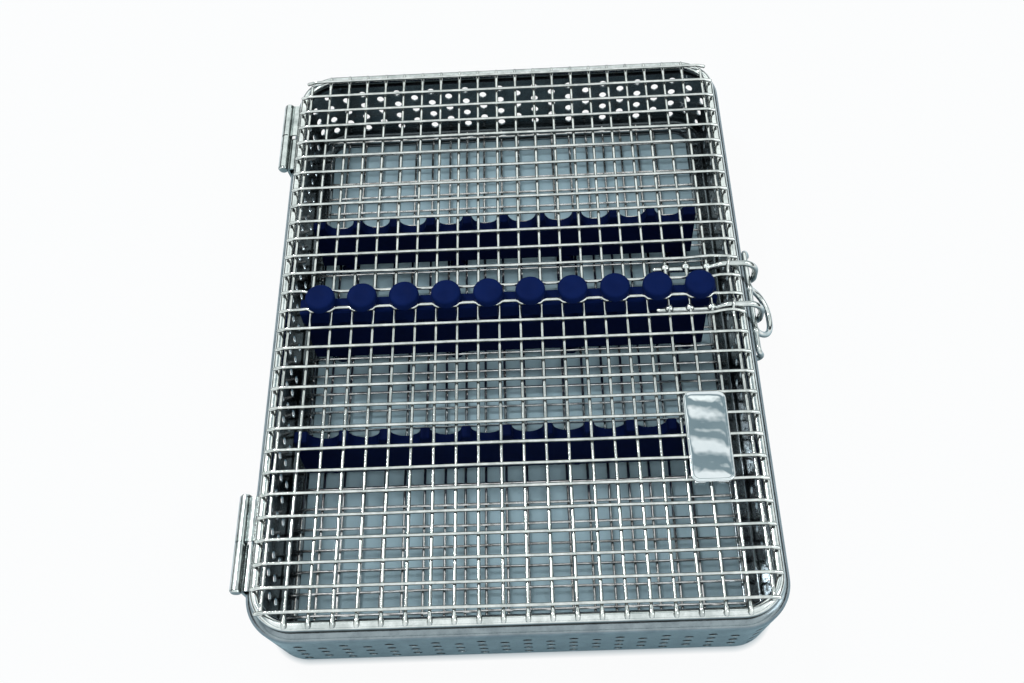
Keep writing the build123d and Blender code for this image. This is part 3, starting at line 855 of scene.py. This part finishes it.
# The wavy face is closed by quads between its latch side and its hinge side.
latch_half = [verts[last + k][0] > LABEL_X for k in range(ring_size)]
top = latch_half.index(False)
bottom = latch_half.index(True, top)
right = [*range(bottom, ring_size), *range(top)]
left = list(range(bottom - 1, top - 1, -1))
for i in range(len(right) - 1):
    faces.append((last + right[i], last + right[i + 1], last + left[i + 1], last + left[i]))
plate.add(verts, faces)
tab = rounded_outline(1.5, 0.35, 0.2, steps=3)
for wire_y in TAB_WIRE_Y:
    for x in TAB_X:
        side = [(x + a, wire_y - 1.05 + b) for a, b in tab]
        plate.prism(side, upright, 30.8, 32.1, bevel=0.12)
piece("label", plate.verts, plate.faces, "lid", LABEL_STEEL, ["label_plate"], sharp=50)


# ---- Hinges ----------------------------------------------------------------------------

def strip(path, thickness):
    """The outline of a sheet strip whose middle follows a path in the plane."""
    p = np.array(path, float)
    t = np.gradient(p, axis=0)
    t /= np.linalg.norm(t, axis=1)[:, None]
    n = np.stack([-t[:, 1], t[:, 0]], 1) * thickness / 2
    return [tuple(q) for q in p + n] + [tuple(q) for q in (p - n)[::-1]]


HINGE_Y = 73.8
HINGE_SHEET = 0.8
ROLL_R = 1.35
# Half of a pin from its outer end to the barrel: (radius, distance from the middle).
PIN_END = [(0.6, 14.35), (1.2, 14.3), (1.45, 14.12), (1.5, 13.95), (1.5, 13.76), (0.9, 13.75)]


def barrel():
    """The middle line of the sheet that is rolled round a hinge pin: (x, z)."""
    return [
        (HINGE[0] + ROLL_R * math.cos(a), HINGE[1] + ROLL_R * math.sin(a))
        for a in np.radians(np.linspace(68, 400, 44))
    ]


for name, y in (("front", -HINGE_Y), ("back", HINGE_Y)):
    tray_side = Build()
    foot_x = -(73.417 - 6.0 * TAN) - 0.403
    leaf = [(foot_x, 20.75), (foot_x - 3.0 * TAN, 23.75), (-73.87, 26.6)]
    tray_side.prism(strip(leaf, HINGE_SHEET), sideways, y - 13.75, y - 0.2)
    tray_side.prism(strip(barrel(), HINGE_SHEET), sideways, y - 13.7, y - 0.22)
    web = [(-73.8, 26.35), (-73.4, 26.75), (-72.8, 26.95), (-72.1, 26.85), (-71.6, 26.6), (-71.3, 26.25)]
    tray_side.prism(strip(web, 0.5), sideways, y - 13.6, y - 0.3)
    piece(
        f"hinge_roll_tray_{name}", tray_side.verts, tray_side.faces, "tray", HINGE_STEEL,
        [f"hinge_tray_knuckle_{name}"], sharp=30,
    )
    lid_side = Build()
    leaf = [(-71.25, 27.5), (-71.6, 27.85), (-72.1, 28.08), (-72.8, 28.12), (-73.4, 27.95), (-73.85, 27.6)]
    lid_side.prism(strip(leaf, 0.55), sideways, y + 0.3, y + 13.6)
    lid_side.prism(strip(barrel(), HINGE_SHEET), sideways, y + 0.22, y + 13.7)
    piece(
        f"hinge_roll_lid_{name}", lid_side.verts, lid_side.faces, "lid", HINGE_STEEL,
        [f"hinge_lid_knuckle_{name}"], sharp=30,
    )
    pin = Build()
    profile = [(r, -h) for r, h in PIN_END] + PIN_END[::-1]
    pin.lathe(profile, (HINGE[0], y, HINGE[1]), axis="y", sides=32)
    piece(
        f"pin_{name}", pin.verts, pin.faces, "tray", HINGE_STEEL, [f"hinge_pin_{name}"], sharp=30
    )


# ---- Latch -----------------------------------------------------------------------------

ARM_WIRE_R = 0.95
LATCH_WIRE_R = 0.9
LOOP_WIRE_R = 0.93
LOOP_Y, LOOP_HALF = -0.9, 7.8
# How far the latch and its loop are swung out at rest from hanging straight down, in degrees.
LATCH_REST, LOOP_REST = 25, 43
# Weld blobs: (radius, height).
BLOB = [(0.35, -0.9), (0.9, -0.7), (1.3, -0.3), (1.4, 0.1), (1.2, 0.5), (0.8, 0.85), (0.3, 1.0)]
BEAD = [(0.4, -1.15), (1.0, -0.9), (1.22, -0.35), (1.22, 0.35), (1.0, 0.9), (0.4, 1.15)]

for name, y in (("front", ARM_YS[0]), ("back", ARM_YS[1])):
    arm = Build()
    path = bent(
        [
            (45.2, y, 29.05), (61.3, y, 29.05), (65.6, y, 31.0),
            (76.15, y, 31.0), (76.15, y, 21.25), (74.0, y, 21.25),
        ],
        [3.0, 3.0, 4.7, 1.95],
        step=9.0,
    )
    arm.tube(path, ARM_WIRE_R, 20, dome=0.9)
    for x in (48.0, 54.4, 60.8):
        spot = (x + dice.uniform(-0.12, 0.12), y + dice.uniform(-0.15, 0.15), 30.1)
        arm.lathe(BLOB, spot, sides=20)
    piece(
        f"arm_{name}", arm.verts, arm.faces, "lid", LATCH_STEEL, [f"latch_arm_{name}"], sharp=50
    )


def swung(out, along, up, angle):
    """A point of the latch as it hangs straight down, turned out about its axis by degrees."""
    turn = math.radians(angle)
    return (
        LATCH[0] + out * math.cos(turn) - up * math.sin(turn),
        along,
        LATCH[1] + out * math.sin(turn) + up * math.cos(turn),
    )


finger_in = LATCH[0] - (SIDE_X / 2 + wall_r(FIRST_ROW)) + 0.3
finger_down = LATCH[1] - FIRST_ROW
corners = []
for side, out, up in (
    (-1, -finger_in, -finger_down), (-1, 0, -finger_down), (-1, 0, 0),
    (1, 0, 0), (1, 0, -finger_down), (1, -finger_in, -finger_down),
):
    corners.append(swung(out, LATCH_Y + side * 3 * PITCH, up, LATCH_REST))
latch_wire = Build()
latch_wire.tube(bent(corners, 1.5, step=10), LATCH_WIRE_R, 20, dome=0.7)
piece(
    "latch_rod", latch_wire.verts, latch_wire.faces, "latch", LATCH_STEEL,
    ["latch_bar"], sharp=50,
)

loop = Build()
loop_pts = [
    swung(0, LOOP_Y + s * LOOP_HALF, -d, LOOP_REST)
    for s, d in ((-1, 0.75), (-1, 8.9), (1, 8.9), (1, 0.75))
]
loop.tube(bent(loop_pts, 7.0, step=8), LOOP_WIRE_R, 20, dome=0.0)
for s in (-1, 1):
    loop.lathe(BEAD, (LATCH[0], LOOP_Y + s * LOOP_HALF, LATCH[1]), axis="y", sides=24)
piece(
    "finger_loop", loop.verts, loop.faces, "latch", LATCH_STEEL,
    ["latch_loop"], sharp=50,
)


# ---- Stage, light and camera -----------------------------------------------------------

# The tray's foot on the floor, in metres.
FOOT_HALF = (0.0690, 0.0970)
FOOT_CORNER = 0.010

floor_mesh = bpy.data.meshes.new("stage_floor")
floor_mesh.from_pydata([(-3, -3, 0), (3, -3, 0), (3, 3, 0), (-3, 3, 0)], [], [(0, 1, 2, 3)])
floor = bpy.data.objects.new("stage_floor", floor_mesh)
floor.location.z = -0.0002
bpy.context.scene.collection.objects.link(floor)

mat, tree, shader = node_material("stage_floor")
shader.inputs["Base Color"].default_value = (0.39, 0.54, 0.615, 1)
shader.inputs["Roughness"].default_value = 0.9
shader.inputs["Specular IOR Level"].default_value = 0.0
out = tree.nodes["Material Output"]
glow = add_node(tree, "ShaderNodeEmission", {"Color": (1, 1, 1, 1), "Strength": 1.0})
where = add_node(tree, "ShaderNodeTexCoord")
ray = add_node(tree, "ShaderNodeLightPath")


def combine(tree, operation, a, b):
    """A Math node on two sockets, or on a socket and a number."""
    node = add_node(tree, "ShaderNodeMath", operation=operation)
    tree.links.new(a, node.inputs[0])
    if isinstance(b, float):
        node.inputs[1].default_value = b
    else:
        tree.links.new(b, node.inputs[1])
    return node.outputs[0]


def off_footprint(fade):
    """0 under the tray's rounded foot, rising to 1 at a distance from it."""
    straight = (FOOT_HALF[0] - FOOT_CORNER, FOOT_HALF[1] - FOOT_CORNER, 0.0)
    vector = where.outputs["Object"]
    for operation, other in (
        ("ABSOLUTE", None), ("SUBTRACT", straight), ("MAXIMUM", (0.0, 0.0, 0.0)),
    ):
        step = add_node(tree, "ShaderNodeVectorMath", operation=operation)
        tree.links.new(vector, step.inputs[0])
        if other:
            step.inputs[1].default_value = other
        vector = step.outputs["Vector"]
    length = add_node(tree, "ShaderNodeVectorMath", operation="LENGTH")
    tree.links.new(vector, length.inputs[0])
    share = add_node(tree, "ShaderNodeMapRange")
    share.inputs["From Min"].default_value = FOOT_CORNER
    share.inputs["From Max"].default_value = FOOT_CORNER + fade
    tree.links.new(length.outputs["Value"], share.inputs["Value"])
    return share.outputs["Result"]


by_eye = combine(tree, "MULTIPLY", ray.outputs["Is Camera Ray"], off_footprint(0.003))
mirrored = combine(tree, "MAXIMUM", ray.outputs["Is Glossy Ray"], ray.outputs["Is Transmission Ray"])
in_gloss = combine(tree, "MULTIPLY", mirrored, off_footprint(0.15))
white_share = combine(tree, "MULTIPLY", combine(tree, "MAXIMUM", by_eye, in_gloss), 0.95)
mix = add_node(tree, "ShaderNodeMixShader")
tree.links.new(white_share, mix.inputs["Fac"])
tree.links.new(shader.outputs["BSDF"], mix.inputs[1])
tree.links.new(glow.outputs["Emission"], mix.inputs[2])
tree.links.new(mix.outputs["Shader"], out.inputs["Surface"])
floor_mesh.materials.append(mat)

# A white room with dark bands, brighter and darker by height, and white where the camera looks.
world = bpy.data.worlds.new("studio")
bpy.context.scene.world = world
world.use_nodes = True
tree = world.node_tree
tree.nodes.clear()
out = add_node(tree, "ShaderNodeOutputWorld")
sky = add_node(tree, "ShaderNodeBackground", {"Strength": 1.0})
white = add_node(tree, "ShaderNodeBackground", {"Color": (1, 1, 1, 1), "Strength": 1.0})
where = add_node(tree, "ShaderNodeTexCoord")
parts = add_node(tree, "ShaderNodeSeparateXYZ")
tree.links.new(where.outputs["Generated"], parts.inputs["Vector"])
front = add_node(
    tree, "ShaderNodeMapRange", {"From Min": -1.0, "From Max": 0.0, "To Min": 0.6, "To Max": 0.0}
)
tree.links.new(parts.outputs["Y"], front.inputs["Value"])
height = combine(tree, "ADD", parts.outputs["Z"], front.outputs["Result"])
room = [
    (0.0, (0.9, 0.92, 0.92)), (0.03, (0.9, 0.92, 0.92)), (0.06, (0.04, 0.05, 0.055)),
    (0.38, (0.05, 0.065, 0.07)), (0.48, (1.05, 1.12, 1.1)), (0.79, (1.08, 1.14, 1.12)),
    (0.83, (0.24, 0.32, 0.35)), (0.88, (0.24, 0.32, 0.35)), (0.92, (0.95, 1.0, 1.0)), (1.0, (0.95, 1.0, 1.0)),
]
colour = ramp(tree, height, room)
tree.links.new(colour, sky.inputs["Color"])
ray = add_node(tree, "ShaderNodeLightPath")
mix = add_node(tree, "ShaderNodeMixShader")
tree.links.new(ray.outputs["Is Camera Ray"], mix.inputs["Fac"])
tree.links.new(sky.outputs["Background"], mix.inputs[1])
tree.links.new(white.outputs["Background"], mix.inputs[2])
tree.links.new(mix.outputs["Shader"], out.inputs["Surface"])


def area_light(name, place, target, size, power, colour=(1, 1, 1)):
    data = bpy.data.lights.new(name, "AREA")
    data.shape = "RECTANGLE"
    data.size, data.size_y = size
    data.energy = power
    data.color = colour
    lamp = bpy.data.objects.new(name, data)
    lamp.location = place
    lamp.rotation_mode = "QUATERNION"
    lamp.rotation_quaternion = (Vector(target) - Vector(place)).to_track_quat("-Z", "Y")
    bpy.context.scene.collection.objects.link(lamp)


area_light("key", (-0.42, 0.36, 0.98), (0, 0, 0.02), (0.14, 0.14), 3.6)
area_light("fill", (0.75, -0.2, 0.8), (0, 0, 0.02), (0.3, 0.5), 1.2, (0.93, 0.98, 1.0))

# The camera that was fitted to the photo.
FOCAL_PIXELS, IMAGE_WIDTH = 1166.28, 1024.0
SENSOR = 36.0
CAMERA_MM = (10.75, -198.2, 324.7)
CAMERA_TURN = (2.58147418, -0.0390071298, -0.0526796706)

data = bpy.data.cameras.new("camera")
camera = bpy.data.objects.new("camera", data)
bpy.context.scene.collection.objects.link(camera)
data.sensor_width = SENSOR
data.lens = FOCAL_PIXELS * SENSOR / IMAGE_WIDTH
data.clip_start, data.clip_end = 0.01, 20.0
turn = Vector(CAMERA_TURN)
spin = Quaternion(turn.normalized(), turn.length).to_matrix()
view = Matrix((spin[0], -spin[1], -spin[2])).transposed()
camera.matrix_world = Matrix.Translation(Vector(CAMERA_MM) * MM) @ view.to_4x4()
bpy.context.scene.camera = camera
bpy.context.scene.view_settings.view_transform = "Standard"
